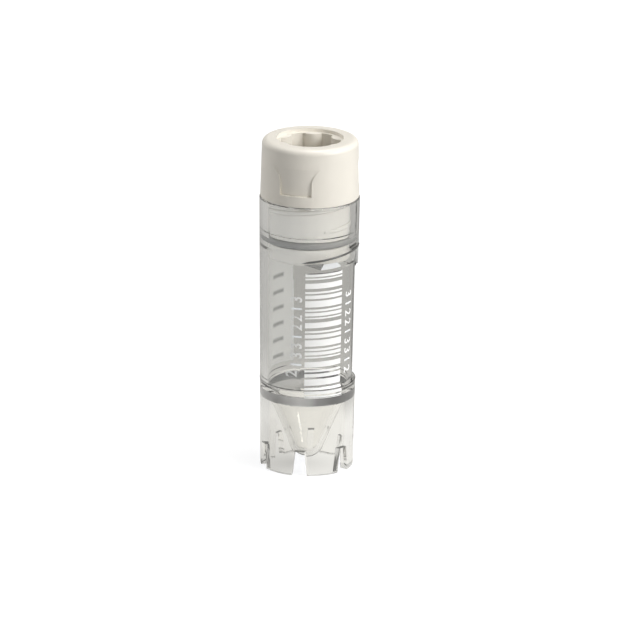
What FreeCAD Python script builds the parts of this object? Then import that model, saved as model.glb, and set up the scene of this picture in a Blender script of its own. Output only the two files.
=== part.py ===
import FreeCAD, Part
import math
import os

# A self-standing cryovial of the 2 ml class with an internal screw neck, built as its three real pieces:
#   tube       one clear moulding: neck, sample bore with a conical floor, notched skirt to stand on
#   cap        one opaque moulding: grip flange with a six-lobed drive socket, plug that fills the neck
#   seal_ring  the elastic ring in the plug's groove that closes against the land inside the neck
# Millimetres. The axis is Z, up. The origin is the centre of the foot. Azimuths are in degrees about Z:
# 0 is the front, -Y, and they grow towards +X.

# Tube, outside
tube_height = 37.6
mouth_radius = 6.75
foot_radius = 6.28
rim_round = 0.12
foot_round = 0.12

# Tube, neck: a plain bore for the screw plug over a sealing land
neck_wall = 1.15
rim_lead_in = 0.25
land_below_rim = 4.52
land_length = 1.96
land_proud = 0.15
land_lead_in = 0.15
land_run_out = 0.4

# Tube, sample bore: a conical floor under a rounded shoulder, with a mould line where the bore ends
bore_below_neck = 0.06
bore_taper = 0.14
cone_half_angle = 22.0
cone_wall = 0.75
tip_round = 2.3
tip_above_foot = 1.0
shoulder_foot_radius = 4.2
shoulder_half_angle = 42.0
shoulder_round = 2.9
shoulder_break_angle = 5.0
mould_line_width = 0.08
mould_line_height = 0.1

# Tube, skirt
skirt_wall = 1.13
skirt_draft_angle = 0.6
gutter_width = 0.05
notch_count = 6
notch_azimuth = -9.0
notch_height = 3.4
notch_top_width = 1.36
notch_foot_width = 2.06

# Tube, label recess: a shallow flat-bottomed hollow along one side
recess_depth = 0.43
recess_azimuth = 83.0
recess_foot = 12.15
recess_ledge = 0.3
recess_side_top = 27.4
recess_run_out = 0.65
recess_front_top = 28.8
recess_front_run_out = 1.4
recess_front_tilt = 6.3
recess_lip_depth = 0.2
recess_lip_height = 0.14
recess_step_azimuth = 97.0

# Cap, flange
rim_gap = 0.08
cap_height = 8.0
flange_inset = 0.1
flange_taper = 0.17
flange_round = 0.8
flange_foot_chamfer = 0.1

# Cap, drive socket and the core below it
countersink_radius = 4.5
countersink_depth = 0.45
lobe_radius = 4.1
lobe_count = 6
lobe_depth = 6.0
rib_round = 1.54
rib_inner_radius = 3.3
rib_azimuth = 175.6
core_radius = 3.25
plug_floor = 1.8

# Cap, side pockets
pocket_count = 3
pocket_azimuth = -17.5
pocket_foot_above_rim = 1.6
pocket_height = 3.8
pocket_straight_height = 1.6
pocket_foot_width = 4.45
pocket_top_width = 6.8
pocket_depth = 0.34
pocket_top_depth = 0.012

# Cap, plug
plug_length = 8.25
thread_gap = 0.22
nose_gap = 0.18
nose_round = 0.45
groove_depth = 0.62

# Seal ring, in the plug's groove at the height of the land
seal_height = 0.95
seal_round = 0.24
seal_squeeze_gap = 0.04
seal_seat_gap = 0.02
groove_side_gap = 0.05

# Worked out from the sizes above
axis = FreeCAD.Vector(0, 0, 1)
origin = FreeCAD.Vector(0, 0, 0)
neck_radius = mouth_radius - neck_wall
land_radius = neck_radius - land_proud
land_top = tube_height - land_below_rim
land_foot = land_top - land_length
bore_top_radius = neck_radius - bore_below_neck
bore_foot_radius = bore_top_radius - bore_taper
cone_slope = math.tan(math.radians(cone_half_angle))
skirt_slope = math.tan(math.radians(skirt_draft_angle))
flange_foot = tube_height + rim_gap
cap_top = flange_foot + cap_height
flange_foot_radius = mouth_radius - flange_inset
plug_foot = tube_height - plug_length
plug_radius = neck_radius - thread_gap
nose_radius = land_radius - nose_gap
groove_radius = nose_radius - groove_depth
seal_middle = land_top - land_length / 2
seal_radius = land_radius - seal_squeeze_gap
past = 1.0


def outer_radius(z):
    """Radius of the tube's drafted outside at height z."""
    return foot_radius + (mouth_radius - foot_radius) * z / tube_height


def flange_radius(z):
    """Radius of the cap's tapered flange at height z."""
    return flange_foot_radius - flange_taper * (z - flange_foot) / (cap_height - flange_round)


def direction(azimuth):
    """Unit vector from the axis towards an azimuth."""
    turn = math.radians(azimuth)
    return FreeCAD.Vector(math.sin(turn), -math.cos(turn), 0)


def lathe(steps):
    """Solid of revolution of a closed outline of (radius, z) steps; a pair of points is an arc step."""
    start = FreeCAD.Vector(steps[0][0], 0, steps[0][1])
    here = start
    edges = []
    for step in steps[1:] + [steps[0]]:
        if isinstance(step[0], tuple):
            middle = FreeCAD.Vector(step[0][0], 0, step[0][1])
            there = FreeCAD.Vector(step[1][0], 0, step[1][1])
            edges.append(Part.Arc(here, middle, there).toShape())
        else:
            there = FreeCAD.Vector(step[0], 0, step[1])
            edges.append(Part.LineSegment(here, there).toShape())
        here = there
    return Part.Face(Part.Wire(edges)).revolve(origin, axis, 360)


def corner(radius, z, round_size, turn_from, turn_to):
    """Arc step of a rounded corner about (radius, z), between two angles from the outward direction."""
    def point(turn):
        turn = math.radians(turn)
        return (radius + round_size * math.cos(turn), z + round_size * math.sin(turn))
    return (point((turn_from + turn_to) / 2), point(turn_to))


def cone_with_round_tip(half_angle, round_size, tip_z):
    """Apex height of the cone whose tip is rounded at tip_z, and its outline steps up to the cone."""
    sine = math.sin(math.radians(half_angle))
    centre_z = tip_z + round_size
    apex_z = centre_z - round_size / sine
    return apex_z, [(0, tip_z), corner(0, centre_z, round_size, -90, -half_angle)]


def around(shape, count, first_azimuth):
    """Copies of a shape made at the front, turned to first_azimuth and evenly about the axis."""
    copies = []
    for number in range(count):
        copy = shape.copy()
        copy.rotate(origin, axis, first_azimuth + number * 360 / count)
        copies.append(copy)
    return Part.makeCompound(copies)


def prism_at_front(outline, from_radius, to_radius):
    """Prism of an (across, z) outline facing the front, from one radius out to another."""
    points = [FreeCAD.Vector(across, -from_radius, z) for across, z in outline]
    face = Part.Face(Part.makePolygon(points + points[:1]))
    return face.extrude(FreeCAD.Vector(0, from_radius - to_radius, 0))


def tube_outside():
    """The drafted body with its rim and foot corners rounded."""
    foot_inner = foot_radius - foot_round
    rim_inner = mouth_radius - rim_round
    return lathe([
        (0, 0),
        (foot_inner, 0),
        corner(foot_inner, foot_round, foot_round, -90, 0),
        (mouth_radius, tube_height - rim_round),
        corner(rim_inner, tube_height - rim_round, rim_round, 0, 90),
        (0, tube_height),
    ])


def tube_bore():
    """The space inside: round-tipped cone, shoulder, drafted bore, sealing land, neck and lead-in."""
    tip_z = tip_above_foot + cone_wall
    apex_z, tip = cone_with_round_tip(cone_half_angle, tip_round - cone_wall, tip_z)
    steep = math.radians(shoulder_half_angle)
    slight = math.radians(shoulder_break_angle)
    shoulder_foot = apex_z + shoulder_foot_radius / cone_slope
    round_centre = bore_foot_radius - mould_line_width - shoulder_round * math.cos(slight)
    round_foot_radius = round_centre + shoulder_round * math.cos(steep)
    round_foot = shoulder_foot + (round_foot_radius - shoulder_foot_radius) / math.tan(steep)
    round_middle = round_foot + shoulder_round * math.sin(steep)
    mould_line_foot = round_middle - shoulder_round * math.sin(slight)
    return lathe(tip + [
        (shoulder_foot_radius, shoulder_foot),
        (round_foot_radius, round_foot),
        corner(round_centre, round_middle, shoulder_round, -shoulder_half_angle, -shoulder_break_angle),
        (bore_foot_radius, mould_line_foot + mould_line_height),
        (bore_top_radius, land_foot - land_run_out),
        (land_radius, land_foot),
        (land_radius, land_top),
        (neck_radius, land_top + land_lead_in),
        (neck_radius, tube_height - rim_lead_in),
        (neck_radius + rim_lead_in, tube_height),
        (neck_radius + rim_lead_in, tube_height + past),
        (0, tube_height + past),
    ])


def skirt_space():
    """The space under the cone, inside the skirt, and the height of its top."""
    bore_at_foot = foot_radius - skirt_wall
    apex_z, tip = cone_with_round_tip(cone_half_angle, tip_round, tip_above_foot)
    top = (bore_at_foot - gutter_width + apex_z * cone_slope) / (cone_slope + skirt_slope)
    bore_at_top = bore_at_foot - top * skirt_slope
    bore_below_foot = bore_at_foot + past * skirt_slope
    return lathe(tip + [
        ((top - apex_z) * cone_slope, top),
        (bore_at_top, top),
        (bore_below_foot, -past),
        (0, -past),
    ])


def skirt_notches():
    """Trapezoid notches that widen down to the foot."""
    widening = (notch_foot_width - notch_top_width) / notch_height
    top_half = notch_top_width / 2
    foot_half = (notch_foot_width + widening * past) / 2
    outline = [
        (-foot_half, -past),
        (foot_half, -past),
        (top_half, notch_height),
        (-top_half, notch_height),
    ]
    cone_apex, _ = cone_with_round_tip(cone_half_angle, tip_round, tip_above_foot)
    cone_there = (notch_height - cone_apex) * cone_slope
    inside = (cone_there + foot_radius - skirt_wall) / 2
    return around(prism_at_front(outline, inside, mouth_radius + past), notch_count, notch_azimuth)


def tilted_ring(z, tilt, shift):
    """Outline of the tube's outside, shifted, where a plane cuts it that rises towards +X."""
    radius = outer_radius(z)
    centre = axis * z + shift
    along = FreeCAD.Vector(radius, 0, radius * math.tan(math.radians(tilt)))
    across = FreeCAD.Vector(0, radius, 0)
    if tilt == 0:
        return Part.Circle(centre, axis, radius)
    return Part.Ellipse(centre + along, centre + across, centre)


def recess_cut(top, run_out, tilt):
    """What the recess removes: the tube's own outside is left, shifted sideways over its height."""
    shift = direction(recess_azimuth) * -recess_depth
    ledge_top = recess_foot + recess_ledge
    curves = [
        Part.Circle(axis * recess_foot, axis, outer_radius(recess_foot)),
        Part.Circle(shift + axis * ledge_top, axis, outer_radius(ledge_top)),
        Part.Circle(shift + axis * top, axis, outer_radius(top)),
        tilted_ring(top + run_out - recess_lip_height, tilt, shift * (recess_lip_depth / recess_depth)),
        tilted_ring(top + run_out, tilt, shift * 0),
    ]
    kept = Part.makeLoft([Part.Wire(curve.toShape()) for curve in curves], True, True)
    reach = 2 * mouth_radius
    block = Part.makeCylinder(mouth_radius + past, tube_height, axis * recess_foot, axis)
    up = FreeCAD.Vector(-math.sin(math.radians(tilt)), 0, math.cos(math.radians(tilt)))
    above = Part.makeCylinder(reach, tube_height * 2, axis * (top + run_out), up)
    return block.cut(above).cut(kept)


def label_recess():
    """The recess in two parts that meet at the step: a lower one behind it and a taller one in front."""
    reach = 2 * mouth_radius
    behind = Part.makeBox(reach, 2 * reach, tube_height * 2, FreeCAD.Vector(0, -reach, 0))
    behind.rotate(origin, axis, recess_step_azimuth)
    side = recess_cut(recess_side_top, recess_run_out, 0).common(behind)
    front = recess_cut(recess_front_top, recess_front_run_out, recess_front_tilt).cut(behind)
    return [side, front]


def make_tube():
    body = tube_outside().cut(tube_bore())
    body = body.cut(skirt_space())
    body = body.cut(skirt_notches())
    return body.cut(label_recess())


def cap_outside():
    """Plug with its seal groove, and the flange above it."""
    nose_inner = nose_radius - nose_round
    flange_top_radius = flange_radius(cap_top - flange_round)
    round_inner = flange_top_radius - flange_round
    groove_half = seal_height / 2 + groove_side_gap
    return lathe([
        (0, plug_foot),
        (nose_inner, plug_foot),
        corner(nose_inner, plug_foot + nose_round, nose_round, -90, 0),
        (nose_radius, seal_middle - groove_half),
        (groove_radius, seal_middle - groove_half),
        (groove_radius, seal_middle + groove_half),
        (nose_radius, seal_middle + groove_half),
        (nose_radius, land_top),
        (plug_radius, land_top + land_lead_in),
        (plug_radius, flange_foot),
        (flange_foot_radius - flange_foot_chamfer, flange_foot),
        (flange_foot_radius, flange_foot + flange_foot_chamfer),
        (flange_top_radius, cap_top - flange_round),
        corner(round_inner, cap_top - flange_round, flange_round, 0, 90),
        (0, cap_top),
    ])


def drive_socket():
    """Countersink, lobed socket between six convex ribs, and the plain core down to the plug floor."""
    ledge = cap_top - countersink_depth
    foot = ledge - lobe_depth
    countersink = Part.makeCylinder(countersink_radius, countersink_depth + past, axis * ledge, axis)
    lobes = Part.makeCylinder(lobe_radius, lobe_depth + past, axis * foot, axis)
    rib_centre = FreeCAD.Vector(0, -rib_inner_radius - rib_round, foot - past)
    rib = Part.makeCylinder(rib_round, lobe_depth + past, rib_centre, axis)
    lobes = lobes.cut(around(rib, lobe_count, rib_azimuth))
    core_foot = plug_foot + plug_floor
    core = Part.makeCylinder(core_radius, cap_top - core_foot + past, axis * core_foot, axis)
    return countersink.fuse(lobes).fuse(core)


def side_pockets():
    """Finger pockets: straight sides that flare at the top, deepest at the foot and fading out upwards."""
    foot = tube_height + pocket_foot_above_rim
    bend = foot + pocket_straight_height
    top = foot + pocket_height
    half = pocket_foot_width / 2
    top_half = pocket_top_width / 2
    bow = (half + (top_half - half) * 0.28, bend + (top - bend) * 0.59)
    corners = [
        (-half, foot),
        (half, foot),
        (half, bend),
        (top_half, top),
        (-top_half, top),
        (-half, bend),
    ]
    points = [FreeCAD.Vector(across, 0, z) for across, z in corners]
    right = FreeCAD.Vector(bow[0], 0, bow[1])
    left = FreeCAD.Vector(-bow[0], 0, bow[1])
    edges = [
        Part.LineSegment(points[0], points[1]).toShape(),
        Part.LineSegment(points[1], points[2]).toShape(),
        Part.Arc(points[2], right, points[3]).toShape(),
        Part.LineSegment(points[3], points[4]).toShape(),
        Part.Arc(points[4], left, points[5]).toShape(),
        Part.LineSegment(points[5], points[0]).toShape(),
    ]
    outline = Part.Face(Part.Wire(edges)).extrude(FreeCAD.Vector(0, -mouth_radius - past, 0))
    floor_foot = flange_radius(foot) - pocket_depth
    floor_top = flange_radius(top) - pocket_top_depth
    slope = (floor_top - floor_foot) / pocket_height
    inner = lathe([
        (0, foot - past),
        (floor_foot - slope * past, foot - past),
        (floor_top + slope * past, top + past),
        (0, top + past),
    ])
    return around(outline.cut(inner), pocket_count, pocket_azimuth)


def make_cap():
    return cap_outside().cut(drive_socket()).cut(side_pockets())


def make_seal_ring():
    """Rounded ring that fills the groove and reaches the land."""
    inner = groove_radius + seal_seat_gap
    half = seal_height / 2
    low = seal_middle - half
    high = seal_middle + half
    return lathe([
        (inner, low),
        (seal_radius - seal_round, low),
        corner(seal_radius - seal_round, low + seal_round, seal_round, -90, 0),
        (seal_radius, high - seal_round),
        corner(seal_radius - seal_round, high - seal_round, seal_round, 0, 90),
        (inner, high),
    ])


def main():
    os.makedirs("parts", exist_ok=True)
    pieces = {"tube": make_tube(), "cap": make_cap(), "seal_ring": make_seal_ring()}
    for name, shape in pieces.items():
        box = shape.BoundBox
        solid = shape.Solids[0]
        solid.exportStep("parts/" + name + ".step")
        print(name, len(shape.Solids), "solid, valid", shape.isValid(), "volume", round(shape.Volume, 2))
        print("  z", round(box.ZMin, 3), round(box.ZMax, 3), "x", round(box.XMin, 3), round(box.XMax, 3))


main()
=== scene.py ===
"""The looks of a self-standing cryovial: its finishes, print, moulded trim and sheets of painted shade
and highlight, on a white stage.
"""
import math

import bmesh
import bpy
from mathutils import Matrix, Vector
from mathutils.bvhtree import BVHTree


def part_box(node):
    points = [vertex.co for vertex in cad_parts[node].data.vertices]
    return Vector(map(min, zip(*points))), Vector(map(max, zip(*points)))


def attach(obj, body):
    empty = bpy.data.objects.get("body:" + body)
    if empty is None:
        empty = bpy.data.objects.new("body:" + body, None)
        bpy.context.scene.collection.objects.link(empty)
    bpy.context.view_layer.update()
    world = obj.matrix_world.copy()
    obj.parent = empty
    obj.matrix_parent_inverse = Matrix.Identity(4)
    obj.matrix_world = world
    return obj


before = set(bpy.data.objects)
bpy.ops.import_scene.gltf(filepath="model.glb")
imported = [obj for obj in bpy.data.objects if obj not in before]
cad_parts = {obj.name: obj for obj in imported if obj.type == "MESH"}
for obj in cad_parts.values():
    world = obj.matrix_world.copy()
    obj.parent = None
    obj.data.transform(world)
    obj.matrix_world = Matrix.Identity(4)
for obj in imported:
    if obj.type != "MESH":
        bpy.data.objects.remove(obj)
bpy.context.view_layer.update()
scene = bpy.context.scene

# Lengths are in millimetres and are turned into metres with MM, but the camera's distance, the floor,
# its pool of light and the lamps are in metres. Azimuths are in degrees: 0 is the front of the vial
# (-Y), and they grow to the right, so 90 is its right side.
MM = 0.001

# ---------------------------------------------------------------- sizes

# The tube and the ring, as the model has them
TUBE_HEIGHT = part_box("tube")[1][2] / MM
MOUTH_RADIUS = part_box("tube")[1][0] / MM
FOOT_RADIUS = 6.28
RECESS_DEPTH = 0.43
RECESS_AZIMUTH = 83.0
RECESS_FOOT = 12.15
RECESS_LEDGE = 0.3
SEAL_MIDDLE = (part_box("seal_ring")[0][2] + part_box("seal_ring")[1][2]) / 2 / MM

# Ink lies a little off the wall, in cells of so many degrees by so many millimetres
INK_LIFT = 0.012
DIGIT_LIFT = 0.015
INK_CELL = (2.5, 0.6)

# Barcode: the widths and the gaps each repeat, out of step with each other
BARCODE_AZIMUTHS = (-3.8, 45.6)
BARCODE_FOOT = 11.1
BARCODE_TOP = 28.6
BAR_WIDTHS = (0.45, 0.22, 0.75, 0.28, 0.5, 0.9, 0.3)
BAR_GAPS = (0.2, 0.3, 0.24, 0.5, 0.2, 0.26, 0.42)
GAP_STRIDE = 3

# Digits: two columns beside the barcode
DIGIT_SIZE = 2.2
DIGIT_BOLDER = 0.035
DIGIT_WIDTH = 0.85

# Writing panel and graduation marks, on the back left. Each mark is a stack of films. MARK_BLEED gives
# half the height of each film and how many degrees it runs past the mark's two ends. Every film lies
# both under the panel and over it.
PANEL_AZIMUTHS = (-160.0, -100.0)
PANEL_HEIGHTS = (12.8, 30.0)
MARK_COUNT = 6
MARK_TOP = 25.2
MARK_STEP = 2.26
MARK_AZIMUTHS = (-142.0, -120.0)
MARK_BLEED = ((0.13, 0.0), (0.24, 1.2), (0.36, 2.4))
MARK_LIFT_UNDER = 0.009
MARK_LIFT_OVER = 0.03
MARK_FILM_STEP = 0.002

# Thread on the plug. THREAD_RIDGE gives the corners of the ridge: height, and distance out from the root
THREAD_PITCH = 3.0
THREAD_FOOT = 34.0
THREAD_ROOT = 5.38
THREAD_START = 20.0
THREAD_TURNS = 1.15
THREAD_STEPS_PER_TURN = 96
THREAD_FADE_STEPS = 10
THREAD_RIDGE = ((-0.42, -0.05), (-0.16, 0.15), (0.16, 0.15), (0.42, -0.05))

# Rounded edges of the label recess, coloured dark as painted shade. The sill is level as far as
# SILL_BREAK, and from there it starts at SILL_BEHIND and falls by so much a degree.
EDGE_STEP = 1.5
EDGE_FADE_STEPS = 5
EDGE_BLUNT = 0.4
EDGE_FLATNESS = 0.6
EDGE_SIDES = 8
RECESS_FRONT_TOP = 30.2
BROW_HEIGHT, BROW_TILT = 30.16, 0.87
SILL_HEIGHT, SILL_BEHIND, SILL_FALL, SILL_BREAK = 28.56, 29.25, 0.012, 48.0
STEP_HEIGHTS = (28.0, 31.0)
STEP_AZIMUTH = 95.5
STEP_HALF_DEPTH = 0.24
STEP_HALF_WIDTH = 0.12
STEP_PROUD = 0.03
STEP_RINGS = 13

# Two facets of the recess's sloping top: one of painted shade and one with a painted highlight
FACET_STEP = 2.0
FACET_LIFT = 0.02
FACET_TOP, FACET_DEPTH, FACET_THINNEST = 29.9, 0.9, 0.02
SHADE_START, SHADE_CORNER, SHADE_END = -6.0, 14.5, 18.0
GLINT_START, GLINT_END = 15.0, 43.0
GLINT_FOOT, GLINT_HEIGHT, GLINT_TILT = 29.02, 0.78, 0.004
GLINT_OPENS, GLINT_CLOSES, GLINT_BLUNT = 3.5, 7.0, 0.3

# Belts right round the vial; the web band and the floor shade are painted shade. WEB_BAND has distances
# out from the wall and heights. SEAL_CONTACT has radii and heights off the seal's middle. FLOOR_SHADE
# has the height of its foot and then of its top, each first at the front and then at the back.
WEB_BAND = ((0.004, 9.9), (0.014, 10.0), (0.014, 11.0), (0.004, 11.1))
WEB_STEPS = 144
SEAL_CONTACT = ((5.40, -0.40), (5.456, -0.32), (5.456, 0.32), (5.40, 0.40))
SEAL_STEPS = 180
FLOOR_SHADE = ((9.9, 9.0), (10.9, 11.6))
FLOOR_SHADE_STEPS = 90
FLOOR_SHADE_ROWS = 8
FLOOR_SHADE_GAP = 0.03

# ---------------------------------------------------------------- camera and light

CAMERA_LENS = 450.0
CAMERA_SENSOR = 36.0
CAMERA_SHIFT = (0.01806, -0.03200)
CAMERA_ELEVATION = 17.142
CAMERA_ROLL = 0.675
CAMERA_DISTANCE = 1.07715
CAMERA_TARGET = 23.0
LAMP_TARGET = 30.0

# Light on open matt surfaces, and on matt surfaces that the clear plastic covers
WORLD_LIGHT = 0.52
INSIDE_LIGHT = (1.1, 1.16, 1.27, 1)

# What reflections and clear plastic show. ROOM_UP runs from the horizon up, the SIDE ramps from left
# to right, and the pool is painted light on the floor round the vial, out to POOL_REACH, with painted
# shadow right under the vial and on its left near by.
ROOM_TINT = (1.0, 0.99, 0.955)
ROOM_UP = ((0.0, 0.7), (0.05, 0.7), (0.1, 0.2), (0.6, 0.15), (0.8, 0.5), (1.0, 0.6))
ROOM_SIDE = ((0.0, 0.85), (0.5, 0.85), (0.85, 1.0), (1.0, 1.0))
POOL_REACH = 0.2
POOL_FADE = ((0.0, 0.7), (0.03, 0.88), (0.13, 0.92), (0.2, 0.55),
             (0.3, 0.42), (0.5, 0.42), (0.65, 0.46), (1.0, 0.48))
POOL_EDGE = (0.12, 0.2)
POOL_SIDE = ((0.0, 0.72), (0.25, 0.8), (0.5, 0.97), (0.75, 1.0), (1.0, 1.0))
BEYOND_SIDE = ((0.0, 1.2), (0.25, 1.15), (0.42, 0.95), (0.75, 1.0), (1.0, 1.0))

FLOOR_SIZE = 4.0
FLOOR_BOUNCE = (0.45, 0.45, 0.45, 1)
FLOOR_SHADOW = (0.35, 0.35, 0.35, 1)
FLOOR_GLOW = 0.75

# ---------------------------------------------------------------- colours and finishes

CLEAR_TINT = (0.998, 0.994, 0.98)
CLEAR_INDEX = 1.49
CLEAR_ROUGHNESS = 0.02
CLEAR_RUB_ROUGHNESS = 0.12
CLEAR_RELIEF = 0.0006
CLEAR_SHADOW = (0.42, 0.42, 0.42, 1)
CLEAR_DEPTH_COLOUR = (0.5, 0.49, 0.465, 1)
CLEAR_DEPTH = 25.0
CREAM = (0.80, 0.76, 0.68)
SEAL_GREY = (0.34, 0.328, 0.3)
WHITE_INK = (0.95, 0.95, 0.93)
GREY_INK = (0.24, 0.24, 0.24)
# Dark grey of the recess's rounded edges: painted shade
EDGE_SHADE_GREY = (0.13, 0.128, 0.12)
# Dark grey of the recess's shaded facet: painted shade
FACET_SHADE_GREY = (0.14, 0.138, 0.13)
# White of the recess's glint: a painted highlight
GLINT_PAINT_WHITE = (0.95, 0.95, 0.93)
# Grey of the recess step's edge: painted shading
STEP_SHADE_GREY = (0.55, 0.545, 0.53)
# Tint of the web band's painted shade
WEB_SHADE_TINT = (1.0, 0.985, 0.95)
# Grey of the floor's shoulder: painted shade
FLOOR_SHADE_GREY = (0.27, 0.265, 0.25)
ROUGHNESS_SWING = 0.16
INK_RELIEF = 0.004

# Painted shade of the web band: its greys from the left of the tube to its right
WEB_PAINTED_SHADES = ((0.04, 0.58), (0.2, 0.45), (0.28, 0.6), (0.42, 0.64),
              (0.52, 0.5), (0.6, 0.28), (0.76, 0.16), (1.0, 0.18))


# ---------------------------------------------------------------- places on the vial

def direction(azimuth):
    turn = math.radians(azimuth)
    return Vector((math.sin(turn), -math.cos(turn), 0.0))


def point(radius, azimuth, z):
    """A place in metres from a radius and a height in millimetres."""
    place = direction(azimuth) * radius
    place.z = z
    return place * MM


def outer_radius(z):
    return FOOT_RADIUS + (MOUTH_RADIUS - FOOT_RADIUS) * z / TUBE_HEIGHT


def side_radius(azimuth, z):
    """Radius of the tube's outside, with the label recess, at an azimuth and height."""
    depth = RECESS_DEPTH * min(1.0, max(0.0, (z - RECESS_FOOT) / RECESS_LEDGE))
    across = -depth * math.cos(math.radians(azimuth - RECESS_AZIMUTH))
    full = outer_radius(z)
    recessed = across + math.sqrt(full * full - depth * depth + across * across)
    return min(full, recessed)


def between(ends, share):
    return ends[0] + (ends[1] - ends[0]) * share


# ---------------------------------------------------------------- shader building

def add(tree, kind, settings=None, sockets=None):
    """A new shader node; a socket takes a plain value or another node's output."""
    made = tree.nodes.new("ShaderNode" + kind)
    for name, value in (settings or {}).items():
        setattr(made, name, value)
    for name, value in (sockets or {}).items():
        if isinstance(value, bpy.types.NodeSocket):
            tree.links.new(value, made.inputs[name])
        else:
            made.inputs[name].default_value = value
    return made


def output_of(tree, kind, **sockets):
    """The output of a new node that needs nothing but its sockets."""
    return add(tree, kind, None, sockets).outputs[0]


def mix(tree, share, one, other):
    return add(tree, "MixShader", None, {0: share, 1: one, 2: other}).outputs[0]


def work_out(tree, operation, *values):
    return add(tree, "Math", {"operation": operation}, dict(enumerate(values))).outputs[0]


def mapped(tree, value, start, end):
    """0 at start and below, 1 at end and above."""
    sockets = {"Value": value, "From Min": start, "From Max": end}
    return add(tree, "MapRange", {"clamp": True}, sockets).outputs[0]


def half_up(tree, value):
    """-1..1 to 0..1."""
    return work_out(tree, "MULTIPLY_ADD", value, 0.5, 0.5)


def ramp(tree, value, stops, tint=(1.0, 1.0, 1.0)):
    made = add(tree, "ValToRGB", None, {0: value})
    line = made.color_ramp.elements
    line.remove(line[1])
    for number, (position, grey) in enumerate(stops):
        stop = line[0] if number == 0 else line.new(position)
        stop.position = position
        stop.color = (*[grey * part for part in tint], 1)
    return made.outputs[0]


def multiply(tree, one, other):
    sockets = {0: 1.0, 1: one, 2: other}
    return add(tree, "MixRGB", {"blend_type": "MULTIPLY"}, sockets).outputs[0]


def by_ray(tree, lighting, inside, mirrored, direct):
    """Joins four shaders: the light on open matt surfaces, the light on what the clear plastic
    covers, what reflections and clear plastic show, and what the camera sees."""
    path = add(tree, "LightPath").outputs
    glossy_or_through = work_out(tree, "MAXIMUM", path["Is Glossy Ray"], path["Is Transmission Ray"])
    not_off_matt = work_out(tree, "LESS_THAN", path["Diffuse Depth"], 0.5)
    shown = work_out(tree, "MULTIPLY", glossy_or_through, not_off_matt)
    light = mix(tree, path["Is Transmission Ray"], lighting, inside)
    return mix(tree, path["Is Camera Ray"], mix(tree, shown, light, mirrored), direct)


# ---------------------------------------------------------------- camera and stage

def set_camera():
    data = bpy.data.cameras.new("camera")
    data.lens = CAMERA_LENS
    data.sensor_width = CAMERA_SENSOR
    data.shift_x, data.shift_y = CAMERA_SHIFT
    data.clip_end = 50.0
    camera = bpy.data.objects.new("camera", data)
    scene.collection.objects.link(camera)
    elevation = math.radians(CAMERA_ELEVATION)
    target = Vector((0, 0, CAMERA_TARGET * MM))
    back = Vector((0, -math.cos(elevation), math.sin(elevation)))
    look = (-back).to_track_quat("-Z", "Y").to_matrix().to_4x4()
    roll = Matrix.Rotation(math.radians(CAMERA_ROLL), 4, "Z")
    camera.matrix_world = Matrix.Translation(target + back * CAMERA_DISTANCE) @ look @ roll
    scene.camera = camera


def set_world():
    """White to look at; a plain soft light on the object; in reflections and through plastic, a dim
    room that brightens towards the lamp."""
    world = bpy.data.worlds.new("studio")
    scene.world = world
    world.use_nodes = True
    tree = world.node_tree
    tree.nodes.clear()
    split = add(tree, "SeparateXYZ", None, {0: add(tree, "TexCoord").outputs["Generated"]}).outputs
    up = ramp(tree, split["Z"], ROOM_UP, ROOM_TINT)
    side = ramp(tree, half_up(tree, split["X"]), ROOM_SIDE)
    soft = output_of(tree, "Background", Strength=WORLD_LIGHT)
    inside = output_of(tree, "Background", Color=INSIDE_LIGHT)
    room = output_of(tree, "Background", Color=multiply(tree, up, side))
    white = output_of(tree, "Background", Strength=1.0)
    shown = by_ray(tree, soft, inside, room, white)
    tree.links.new(shown, tree.nodes.new("ShaderNodeOutputWorld").inputs["Surface"])


def pool_of_light(tree):
    """A pool of painted light on the floor round the vial and its fading away, by distance and from left
    to right, with painted shadow under the vial and on its left.
    """
    place = add(tree, "TexCoord").outputs["Object"]
    away = add(tree, "VectorMath", {"operation": "LENGTH"}, {0: place}).outputs["Value"]
    reach = mapped(tree, away, 0.0, POOL_REACH)
    towards = add(tree, "VectorMath", {"operation": "NORMALIZE"}, {0: place}).outputs[0]
    across = half_up(tree, add(tree, "SeparateXYZ", None, {0: towards}).outputs["X"])
    side = add(tree, "MixRGB", None, {0: mapped(tree, reach, *POOL_EDGE),
                                      1: ramp(tree, across, POOL_SIDE),
                                      2: ramp(tree, across, BEYOND_SIDE)}).outputs[0]
    return multiply(tree, ramp(tree, reach, POOL_FADE, ROOM_TINT), side)


def set_floor():
    """A pale floor that shows white and keeps the object's shadow; it is open from below."""
    bm = bmesh.new()
    bmesh.ops.create_grid(bm, x_segments=4, y_segments=4, size=FLOOR_SIZE)
    mesh = bpy.data.meshes.new("floor")
    bm.to_mesh(mesh)
    bm.free()
    floor = bpy.data.objects.new("floor", mesh)
    scene.collection.objects.link(floor)
    paint = bpy.data.materials.new("floor_white")
    paint.use_nodes = True
    tree = paint.node_tree
    tree.nodes.clear()
    plain = output_of(tree, "BsdfDiffuse", Color=FLOOR_BOUNCE)
    inside = output_of(tree, "Emission", Color=INSIDE_LIGHT)
    pool = output_of(tree, "Emission", Color=pool_of_light(tree))
    pale = output_of(tree, "BsdfDiffuse", Color=FLOOR_SHADOW)
    glow = output_of(tree, "Emission", Color=(1, 1, 1, 1), Strength=FLOOR_GLOW)
    seen = add(tree, "AddShader", None, {0: pale, 1: glow}).outputs[0]
    from_above = by_ray(tree, plain, inside, pool, seen)
    from_below = add(tree, "NewGeometry").outputs["Backfacing"]
    one_way = mix(tree, from_below, from_above, output_of(tree, "BsdfTransparent"))
    tree.links.new(one_way, tree.nodes.new("ShaderNodeOutputMaterial").inputs["Surface"])
    mesh.materials.append(paint)


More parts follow.
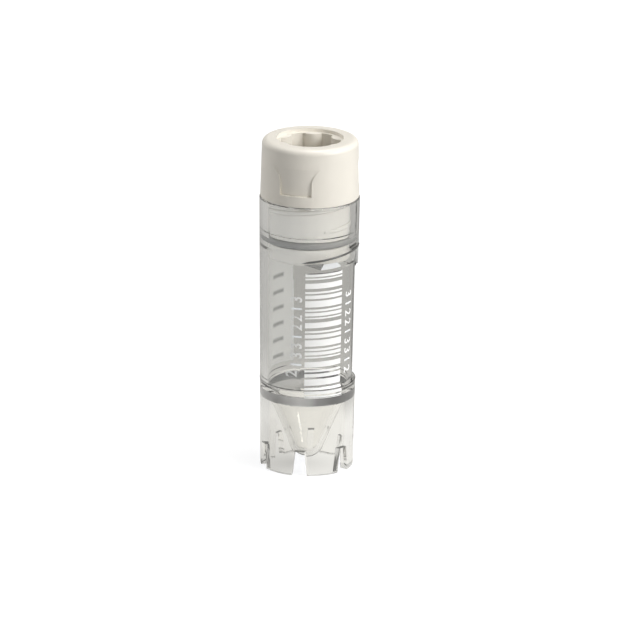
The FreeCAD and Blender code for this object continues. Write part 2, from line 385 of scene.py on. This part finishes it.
def lamp(name, azimuth, distance, height, size, power, matt=True, mirrored=True, through=False):
    """A round soft lamp aimed at the vial, in metres and watts; it can be kept out of matt light, of
    reflections, or of what the clear plastic shows."""
    data = bpy.data.lights.new(name, "AREA")
    data.shape = "DISK"
    data.size = size
    data.energy = power
    light = bpy.data.objects.new(name, data)
    light.visible_diffuse = matt
    light.visible_glossy = mirrored
    light.visible_transmission = through
    scene.collection.objects.link(light)
    spot = direction(azimuth) * distance + Vector((0, 0, height))
    light.location = spot
    aim = Vector((0, 0, LAMP_TARGET * MM)) - spot
    light.rotation_euler = aim.to_track_quat("-Z", "Y").to_euler()


# ---------------------------------------------------------------- surface effects, shared

def effect_group(name, inputs, outputs):
    tree = bpy.data.node_groups.new(name, "ShaderNodeTree")
    for label, start in inputs:
        socket = tree.interface.new_socket(label, in_out="INPUT", socket_type="NodeSocketFloat")
        socket.default_value = start
    for label in outputs:
        tree.interface.new_socket(label, in_out="OUTPUT", socket_type="NodeSocketFloat")
    return tree, tree.nodes.new("NodeGroupInput").outputs, tree.nodes.new("NodeGroupOutput").inputs


def millimetres(tree, stretch=(1.0, 1.0, 1.0)):
    """Object coordinates in millimetres, squeezed along any axis."""
    place = add(tree, "TexCoord").outputs["Object"]
    scale = tuple(part / MM for part in stretch)
    return add(tree, "Mapping", {"vector_type": "POINT"}, {"Vector": place, "Scale": scale}).outputs[0]


def noise(tree, place, scale, detail=2.0, roughness=0.5):
    return output_of(tree, "TexNoise", Vector=place, Scale=scale, Detail=detail, Roughness=roughness)


def uneven_tone(tree, slow, fine, fine_share, swing):
    """A tone near 1 that swings with slow noise and a share of fine noise, each 0.5 on average."""
    both = work_out(tree, "MULTIPLY_ADD", fine, fine_share, slow)
    off_average = work_out(tree, "SUBTRACT", both, 0.5 * (1 + fine_share))
    return work_out(tree, "MULTIPLY_ADD", off_average, swing, 1.0)


def moulded_skin():
    """The skin of a moulding: slow changes of tone, a fine grain, and drag lines along the draw."""
    tree, given, out = effect_group(
        "moulded_skin",
        inputs=(("Grain Scale", 6.0), ("Tone Range", 0.04), ("Drag", 0.3)),
        outputs=("Tone", "Height", "Gloss"))
    place = millimetres(tree)
    slow = noise(tree, place, scale=0.35, detail=1.0)
    grain = noise(tree, place, scale=given["Grain Scale"], detail=4.0)
    drag = noise(tree, millimetres(tree, stretch=(5.0, 5.0, 0.12)), scale=1.0)
    tone = uneven_tone(tree, slow, grain, 0.3, given["Tone Range"])
    height = work_out(tree, "MULTIPLY_ADD", drag, given["Drag"], grain)
    gloss = work_out(tree, "MULTIPLY_ADD", slow, 0.6, work_out(tree, "MULTIPLY", grain, 0.4))
    tree.links.new(tone, out["Tone"])
    tree.links.new(height, out["Height"])
    tree.links.new(gloss, out["Gloss"])
    return tree


def rack_rubs():
    """Hairlines along the axis, from sliding in and out of a rack, that thin out up from the foot."""
    tree, given, out = effect_group(
        "rack_rubs",
        inputs=(("Amount", 0.5), ("Fade Height", 12.0)),
        outputs=("Mask",))
    lines = noise(tree, millimetres(tree, stretch=(14.0, 14.0, 0.35)), scale=1.0, detail=1.0)
    thin = mapped(tree, lines, 0.66, 0.70)
    patches = mapped(tree, noise(tree, millimetres(tree), scale=0.5), 0.45, 0.65)
    up = add(tree, "SeparateXYZ", None, {0: millimetres(tree)}).outputs["Z"]
    low = work_out(tree, "SUBTRACT", 1.0, work_out(tree, "DIVIDE", up, given["Fade Height"]))
    near_foot = work_out(tree, "MAXIMUM", low, 0.15)
    mask = work_out(tree, "MULTIPLY", work_out(tree, "MULTIPLY", thin, patches), near_foot)
    tree.links.new(work_out(tree, "MULTIPLY", mask, given["Amount"]), out["Mask"])
    return tree


def printed_film():
    """A film of printed ink: pinholes, a slightly uneven tone, and the print's fine texture."""
    tree, given, out = effect_group(
        "printed_film",
        inputs=(("Pinholes", 0.5), ("Tone Range", 0.05)),
        outputs=("Cover", "Tone", "Height"))
    place = millimetres(tree)
    weave = noise(tree, place, scale=9.0, detail=3.0, roughness=0.6)
    holes = add(tree, "TexVoronoi", None, {"Vector": place, "Scale": 3.2}).outputs["Distance"]
    size = work_out(tree, "MULTIPLY", given["Pinholes"], work_out(tree, "MULTIPLY", weave, 0.2))
    tone = uneven_tone(tree, noise(tree, place, scale=1.2), weave, 0.5, given["Tone Range"])
    tree.links.new(work_out(tree, "GREATER_THAN", holes, size), out["Cover"])
    tree.links.new(tone, out["Tone"])
    tree.links.new(weave, out["Height"])
    return tree


# ---------------------------------------------------------------- finishes

def effect(tree, group, **values):
    made = tree.nodes.new("ShaderNodeGroup")
    made.node_tree = group
    for name, value in values.items():
        made.inputs[name.replace("_", " ").title()].default_value = value
    return made.outputs


def toned(tree, colour, tone):
    """A colour made lighter or darker by a tone near 1."""
    sockets = {0: colour, "Scale": tone}
    return add(tree, "VectorMath", {"operation": "SCALE"}, sockets).outputs[0]


def relief(tree, height, depth):
    """A normal from a height; depth is in millimetres."""
    return output_of(tree, "Bump", Height=height, Distance=depth * MM, Strength=1.0)


def new_finish(name):
    material = bpy.data.materials.new(name)
    material.use_nodes = True
    nodes = material.node_tree.nodes
    return material, material.node_tree, nodes["Principled BSDF"], nodes["Material Output"].inputs


def clear_polypropylene(skin, rubs):
    """Clear, slightly cloudy plastic; lamps shine through it onto what is inside."""
    material, tree, body, out = new_finish("clear_polypropylene")
    surface = effect(tree, skin, grain_scale=2.0, tone_range=0.02, drag=0.6)
    worn = effect(tree, rubs, amount=0.8, fade_height=14.0)["Mask"]
    tree.links.new(toned(tree, CLEAR_TINT, surface["Tone"]), body.inputs["Base Color"])
    smooth = work_out(tree, "MULTIPLY", surface["Gloss"], 2 * CLEAR_ROUGHNESS)
    rough = work_out(tree, "MULTIPLY_ADD", worn, CLEAR_RUB_ROUGHNESS, smooth)
    tree.links.new(rough, body.inputs["Roughness"])
    tree.links.new(relief(tree, surface["Height"], CLEAR_RELIEF), body.inputs["Normal"])
    body.inputs["IOR"].default_value = CLEAR_INDEX
    body.inputs["Transmission Weight"].default_value = 1.0
    lamps_through = output_of(tree, "BsdfTransparent", Color=CLEAR_SHADOW)
    shadow_ray = add(tree, "LightPath").outputs["Is Shadow Ray"]
    depth = output_of(tree, "VolumeAbsorption", Color=CLEAR_DEPTH_COLOUR, Density=CLEAR_DEPTH)
    tree.links.new(mix(tree, shadow_ray, body.outputs[0], lamps_through), out["Surface"])
    tree.links.new(depth, out["Volume"])
    return material


def opaque_moulding(name, colour, roughness, skin, grain, tone_range, depth):
    material, tree, body, _ = new_finish(name)
    surface = effect(tree, skin, grain_scale=grain, tone_range=tone_range, drag=0.2)
    tree.links.new(toned(tree, colour, surface["Tone"]), body.inputs["Base Color"])
    rough = work_out(tree, "MULTIPLY_ADD", surface["Gloss"], ROUGHNESS_SWING,
                     roughness - ROUGHNESS_SWING / 2)
    tree.links.new(rough, body.inputs["Roughness"])
    tree.links.new(relief(tree, surface["Height"], depth), body.inputs["Normal"])
    return material


def painted_sheet(name, colour, roughness, skin, cover):
    """A partly see-through sheet whose colour is painted light: shade on most, a highlight on one."""
    material = opaque_moulding(name, colour, roughness, skin, grain=5.0, tone_range=0.1, depth=0.001)
    material.node_tree.nodes["Principled BSDF"].inputs["Alpha"].default_value = cover
    return material


def paint_shade_across(material, shades):
    """Paints shade into a material's colour, changing from one side of the tube to the other."""
    tree = material.node_tree
    place = add(tree, "SeparateXYZ", None, {0: millimetres(tree)}).outputs["X"]
    share = mapped(tree, place, -MOUTH_RADIUS, MOUTH_RADIUS)
    colour = tree.nodes["Principled BSDF"].inputs["Base Color"]
    shaded = multiply(tree, colour.links[0].from_socket, ramp(tree, share, shades))
    tree.links.new(shaded, colour)


def ink(name, colour, roughness, film, pinholes, cover=1.0, glow_through=0.0):
    """A printed film; a thin one lets light through from its other side."""
    material, tree, body, out = new_finish(name)
    surface = effect(tree, film, pinholes=pinholes, tone_range=0.04)
    tree.links.new(toned(tree, colour, surface["Tone"]), body.inputs["Base Color"])
    tree.links.new(work_out(tree, "MULTIPLY", surface["Cover"], cover), body.inputs["Alpha"])
    tree.links.new(relief(tree, surface["Height"], INK_RELIEF), body.inputs["Normal"])
    body.inputs["Roughness"].default_value = roughness
    if glow_through:
        back_light = output_of(tree, "BsdfTranslucent", Color=(*colour, 1))
        tree.links.new(mix(tree, glow_through, body.outputs[0], back_light), out["Surface"])
    return material


# ---------------------------------------------------------------- print on the tube

def finish_piece(name, bm, finish, body):
    mesh = bpy.data.meshes.new(name)
    bm.to_mesh(mesh)
    bm.free()
    mesh.shade_smooth()
    mesh.materials.append(finish)
    piece = bpy.data.objects.new(name, mesh)
    scene.collection.objects.link(piece)
    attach(piece, body)


def sheet_of_ink(bm, azimuths, heights, lift=INK_LIFT):
    """Adds a sheet that lies on the tube's outside between two azimuths and two heights."""
    across = max(1, round(abs(azimuths[1] - azimuths[0]) / INK_CELL[0]))
    up = max(1, round(abs(heights[1] - heights[0]) / INK_CELL[1]))
    rows = []
    for j in range(up + 1):
        z = between(heights, j / up)
        turns = [between(azimuths, i / across) for i in range(across + 1)]
        rows.append([bm.verts.new(point(side_radius(turn, z) + lift, turn, z)) for turn in turns])
    for low, high in zip(rows, rows[1:]):
        for i in range(across):
            bm.faces.new((low[i], low[i + 1], high[i + 1], high[i]))


def barcode(finish):
    """White bars round the front of the tube, in a made-up order of widths."""
    bm = bmesh.new()
    top = BARCODE_TOP
    bar = 0
    while top - BAR_WIDTHS[bar % len(BAR_WIDTHS)] > BARCODE_FOOT:
        width = BAR_WIDTHS[bar % len(BAR_WIDTHS)]
        sheet_of_ink(bm, BARCODE_AZIMUTHS, (top - width, top))
        top -= width + BAR_GAPS[(GAP_STRIDE * bar) % len(BAR_GAPS)]
        bar += 1
    sheet_of_ink(bm, BARCODE_AZIMUTHS, (BARCODE_FOOT, top))
    finish_piece("barcode", bm, finish, "tube")


def digit_outline(digit):
    """A flat mesh of one digit, its middle at the origin, in millimetres."""
    curve = bpy.data.curves.new("digit", "FONT")
    curve.body = digit
    curve.size = DIGIT_SIZE
    curve.offset = DIGIT_BOLDER
    curve.resolution_u = 4
    lettering = bpy.data.objects.new("digit", curve)
    scene.collection.objects.link(lettering)
    solved = lettering.evaluated_get(bpy.context.evaluated_depsgraph_get())
    flat = bpy.data.meshes.new_from_object(solved)
    bpy.data.objects.remove(lettering)
    across = [v.co.x for v in flat.vertices]
    tall = [v.co.y for v in flat.vertices]
    middle = Vector(((min(across) + max(across)) / 2, (min(tall) + max(tall)) / 2, 0))
    for v in flat.vertices:
        v.co -= middle
    return flat


def digits(name, finish, number, azimuth, heights, downward, stray=0.0):
    """A column of digits wrapped on the tube, its first one at heights[0] and its last at heights[1].
    The lowest one may stray sideways by some degrees."""
    bm = bmesh.new()
    last = len(number) - 1
    for place, digit in enumerate(number):
        middle = between(heights, place / last)
        lowest = place == (last if downward else 0)
        first = len(bm.verts)
        bm.from_mesh(digit_outline(digit))
        bm.verts.ensure_lookup_table()
        for v in bm.verts[first:]:
            along, over = v.co.x * DIGIT_WIDTH, v.co.y
            z = middle - along if downward else middle + along
            over = over if downward else -over
            turn = azimuth + (stray if lowest else 0.0) + math.degrees(over / outer_radius(z))
            v.co = point(side_radius(turn, z) + DIGIT_LIFT, turn, z)
    finish_piece(name, bm, finish, "tube")


def graduations(finish):
    """Graduation marks of thin ink, each in films that bleed a little past each other."""
    bm = bmesh.new()
    for step in range(MARK_COUNT):
        z = MARK_TOP - step * MARK_STEP
        for number, (half, spread) in enumerate(MARK_BLEED):
            turns = (MARK_AZIMUTHS[0] - spread, MARK_AZIMUTHS[1] + spread)
            apart = MARK_FILM_STEP * number
            for lift in (MARK_LIFT_UNDER - apart, MARK_LIFT_OVER + apart):
                sheet_of_ink(bm, turns, (z - half, z + half), lift)
    finish_piece("graduations", bm, finish, "tube")


def writing_panel(finish):
    bm = bmesh.new()
    sheet_of_ink(bm, PANEL_AZIMUTHS, PANEL_HEIGHTS)
    finish_piece("writing_panel", bm, finish, "tube")


# ---------------------------------------------------------------- moulded trim, and sheets of painted shade and highlight

def swept(bm, rings):
    """Skins a row of closed rings and fills the first and the last."""
    for near, far in zip(rings, rings[1:]):
        for k in range(len(near)):
            after = (k + 1) % len(near)
            bm.faces.new((near[k], far[k], far[after], near[after]))
    bm.faces.new(rings[0])
    bm.faces.new(list(reversed(rings[-1])))
    bmesh.ops.recalc_face_normals(bm, faces=bm.faces)


def belt(bm, steps, profile_at):
    """Skins a belt right round the axis; profile_at gives its radii and heights at an azimuth."""
    turns = [i * 360.0 / steps for i in range(steps)]
    strips = [[bm.verts.new(point(radius, turn, z)) for radius, z in profile_at(turn)]
              for turn in turns]
    for i, near in enumerate(strips):
        far = strips[(i + 1) % steps]
        for k in range(len(near) - 1):
            bm.faces.new((near[k], far[k], far[k + 1], near[k + 1]))


def plug_thread(finish):
    """A low rounded ridge that climbs round the plug, right-handed, fading in and out at its ends."""
    bm = bmesh.new()
    rings = []
    count = round(THREAD_TURNS * THREAD_STEPS_PER_TURN)
    for i in range(count + 1):
        azimuth = THREAD_START + i * 360.0 / THREAD_STEPS_PER_TURN
        z = THREAD_FOOT + THREAD_PITCH * i / THREAD_STEPS_PER_TURN
        fade = min(1.0, min(i, count - i) / THREAD_FADE_STEPS)
        ring = []
        for across, out in THREAD_RIDGE:
            radius = THREAD_ROOT + (out if out < 0 else out * fade)
            ring.append(bm.verts.new(point(radius, azimuth, z + across)))
        rings.append(ring)
    swept(bm, rings)
    finish_piece("plug_thread", bm, finish, "cap")


def brow_line(azimuth):
    """Height of the recess's upper edge, which tilts up to the right."""
    return BROW_HEIGHT + BROW_TILT * math.sin(math.radians(azimuth))


def sill_line(azimuth):
    """Height of the lower edge of the recess's sloping top."""
    if azimuth < SILL_BREAK:
        return SILL_HEIGHT
    return SILL_BEHIND - (azimuth - SILL_BREAK) * SILL_FALL


def foot_line(azimuth):
    return RECESS_FOOT


# Height line, half thickness and azimuths of each rounded edge
RECESS_EDGES = (
    (brow_line, 0.15, (-8.0, 96.0)),
    (sill_line, 0.07, (-5.0, 47.0)),
    (sill_line, 0.1, (50.0, 92.0)),
    (foot_line, 0.06, (-150.0, 150.0)),
)


def recess_brow(finish):
    """The rounded edges that frame the label recess and its sloping top, drawn as dark lines of painted
    shade.
    """
    bm = bmesh.new()
    for edge, half, ends in RECESS_EDGES:
        count = max(8, round(abs(ends[1] - ends[0]) / EDGE_STEP))
        rings = []
        for i in range(count + 1):
            azimuth = between(ends, i / count)
            z = edge(azimuth)
            fade = min(1.0, (min(i, count - i) + EDGE_BLUNT) / EDGE_FADE_STEPS)
            middle = side_radius(azimuth, z) if z < RECESS_FRONT_TOP else outer_radius(z)
            ring = []
            for k in range(EDGE_SIDES):
                turn = k * 2 * math.pi / EDGE_SIDES
                out = half * fade * EDGE_FLATNESS * math.cos(turn)
                up = half * fade * math.sin(turn)
                ring.append(bm.verts.new(point(middle + out, azimuth, z + up)))
            rings.append(ring)
        swept(bm, rings)
    finish_piece("recess_brow", bm, finish, "tube")


def recess_step(finish):
    """The rounded upright edge where the recess's taller front part ends; its grey is painted shading in
    place of how the edge shows in the clear plastic.
    """
    bm = bmesh.new()
    rings = []
    for i in range(STEP_RINGS):
        z = between(STEP_HEIGHTS, i / (STEP_RINGS - 1))
        half = STEP_HALF_DEPTH * min(1.0, (min(i, STEP_RINGS - 1 - i) + 0.5) / 2)
        middle = outer_radius(z) - STEP_HALF_DEPTH + STEP_PROUD
        ring = []
        for k in range(EDGE_SIDES):
            turn = k * 2 * math.pi / EDGE_SIDES
            aside = math.degrees(STEP_HALF_WIDTH * math.sin(turn) / middle)
            ring.append(bm.verts.new(point(middle + half * math.cos(turn), STEP_AZIMUTH + aside, z)))
        rings.append(ring)
    swept(bm, rings)
    finish_piece("recess_step", bm, finish, "tube")


def shade_top(azimuth):
    return FACET_TOP


def shade_foot(azimuth):
    """Falls from the recess's corner, then rises again over a short slant."""
    fall = FACET_TOP - FACET_DEPTH * (azimuth - SHADE_START) / (SHADE_CORNER - SHADE_START)
    rise = FACET_TOP - FACET_DEPTH * (SHADE_END - azimuth) / (SHADE_END - SHADE_CORNER)
    return min(FACET_TOP - FACET_THINNEST, max(fall, rise))


def glint_foot(azimuth):
    return GLINT_FOOT + GLINT_TILT * (azimuth - SHADE_CORNER)


def glint_top(azimuth):
    """Starts on the shade's slant and runs out to a point."""
    opening = (azimuth - SHADE_CORNER + GLINT_BLUNT) / GLINT_OPENS
    closing = (GLINT_END - azimuth + GLINT_BLUNT) / GLINT_CLOSES
    return glint_foot(azimuth) + GLINT_HEIGHT * min(1.0, opening, closing)


def recess_facet(name, finish, ends, lower, upper):
    """A sheet on the recess's sloping top, between two height lines; it carries the facets of painted
    shade and of painted highlight.
    """
    bm = bmesh.new()
    count = max(4, round(abs(ends[1] - ends[0]) / FACET_STEP))
    pairs = []
    for i in range(count + 1):
        azimuth = between(ends, i / count)
        pairs.append([bm.verts.new(point(side_radius(azimuth, z) + FACET_LIFT, azimuth, z))
                      for z in (lower(azimuth), upper(azimuth))])
    for near, far in zip(pairs, pairs[1:]):
        bm.faces.new((near[0], far[0], far[1], near[1]))
    finish_piece(name, bm, finish, "tube")


def web_shade_band(finish):
    """The band where the thick web under the floor meets the side: a sheet of painted shade for the
    light the web takes away.
    """
    bm = bmesh.new()
    belt(bm, WEB_STEPS, lambda azimuth: [(outer_radius(z) + proud, z) for proud, z in WEB_BAND])
    finish_piece("web_shade_band", bm, finish, "tube")


def floor_shade(finish):
    """A belt of painted shade on the shoulder of the bore's floor, lower at the front than at the back.
    It lies on the tube's own inside."""
    tube = BVHTree.FromObject(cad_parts["tube"], bpy.context.evaluated_depsgraph_get())

    def profile_at(azimuth):
        to_back = (1 - math.cos(math.radians(azimuth))) / 2
        ends = [between(heights, to_back) for heights in FLOOR_SHADE]
        profile = []
        for k in range(FLOOR_SHADE_ROWS + 1):
            z = between(ends, k / FLOOR_SHADE_ROWS)
            wall = tube.ray_cast(Vector((0, 0, z * MM)), direction(azimuth))[3] / MM
            profile.append((wall - FLOOR_SHADE_GAP, z))
        return profile

    bm = bmesh.new()
    belt(bm, FLOOR_SHADE_STEPS, profile_at)
    finish_piece("floor_shade", bm, finish, "tube")


def seal_contact(finish):
    """The face of the seal that is pressed flat against the tube's land."""
    bm = bmesh.new()
    belt(bm, SEAL_STEPS, lambda azimuth: [(radius, SEAL_MIDDLE + up) for radius, up in SEAL_CONTACT])
    finish_piece("seal_contact", bm, finish, "seal")


# ---------------------------------------------------------------- the scene

scene.view_settings.view_transform = "Standard"
scene.cycles.max_bounces = 24
scene.cycles.glossy_bounces = 16
scene.cycles.transmission_bounces = 24
scene.cycles.transparent_max_bounces = 16
set_camera()
set_world()
set_floor()
lamp("key_right", azimuth=63, distance=0.50, height=0.24, size=0.30, power=2.2)
lamp("top_soft", azimuth=90, distance=0.10, height=0.60, size=0.30, power=1.6)
lamp("spark_right", azimuth=50, distance=0.50, height=0.26, size=0.08, power=0.16,
     matt=False, through=True)
lamp("back_left", azimuth=-126, distance=0.50, height=0.16, size=0.20, power=0.8, mirrored=False)

skin = moulded_skin()
clear = clear_polypropylene(skin, rack_rubs())
cream = opaque_moulding("cream_polypropylene", CREAM, 0.35, skin,
                        grain=7.0, tone_range=0.05, depth=0.0015)
elastomer = opaque_moulding("grey_elastomer", SEAL_GREY, 0.5, skin,
                            grain=9.0, tone_range=0.12, depth=0.003)
film = printed_film()
white_ink = ink("white_ink", WHITE_INK, 0.4, film, pinholes=0.5)
grey_ink = ink("grey_ink", GREY_INK, 0.5, film, pinholes=0.4, cover=0.15)
panel_ink = ink("panel_ink", WHITE_INK, 0.5, film, pinholes=0.2, glow_through=0.6)
# The recess's rounded edges: dark lines of painted shade
edge_shade_paint = painted_sheet("recess_edge_painted_shade", EDGE_SHADE_GREY, 0.15, skin, cover=0.85)
# The recess's shaded facet: painted shade
facet_shade_paint = painted_sheet("painted_shade_facet", FACET_SHADE_GREY, 0.1, skin, cover=0.6)
# The recess's glint: a painted highlight
glint_paint = painted_sheet("painted_glint_facet", GLINT_PAINT_WHITE, 0.08, skin, cover=0.7)
# The recess step's edge: grey painted shading
step_shade_paint = painted_sheet("step_edge_painted_shade", STEP_SHADE_GREY, 0.15, skin, cover=0.92)
# The web band: painted shade, darker towards the right
web_shade_paint = painted_sheet("web_edge_painted_shade", WEB_SHADE_TINT, 0.15, skin, cover=0.92)
paint_shade_across(web_shade_paint, WEB_PAINTED_SHADES)
# The floor's shoulder: a belt of painted shade
floor_shade_paint = painted_sheet("floor_painted_shade", FLOOR_SHADE_GREY, 0.2, skin, cover=0.58)

for node, finish in (("tube", clear), ("cap", cream), ("seal_ring", elastomer)):
    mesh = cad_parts[node].data
    mesh.materials.clear()
    mesh.materials.append(finish)

barcode(white_ink)
digits("digits_left", white_ink, "213312213", azimuth=-14.1, heights=(14.45, 24.95),
       downward=False, stray=-6.0)
digits("digits_right", white_ink, "312213312", azimuth=60.0, heights=(24.9, 14.3), downward=True)
writing_panel(panel_ink)
graduations(grey_ink)
recess_brow(edge_shade_paint)
recess_step(step_shade_paint)
web_shade_band(web_shade_paint)
floor_shade(floor_shade_paint)
recess_facet("recess_shade", facet_shade_paint, (SHADE_START, SHADE_END), shade_foot, shade_top)
recess_facet("recess_glint", glint_paint, (GLINT_START, GLINT_END), glint_foot, glint_top)
plug_thread(cream)
seal_contact(elastomer)
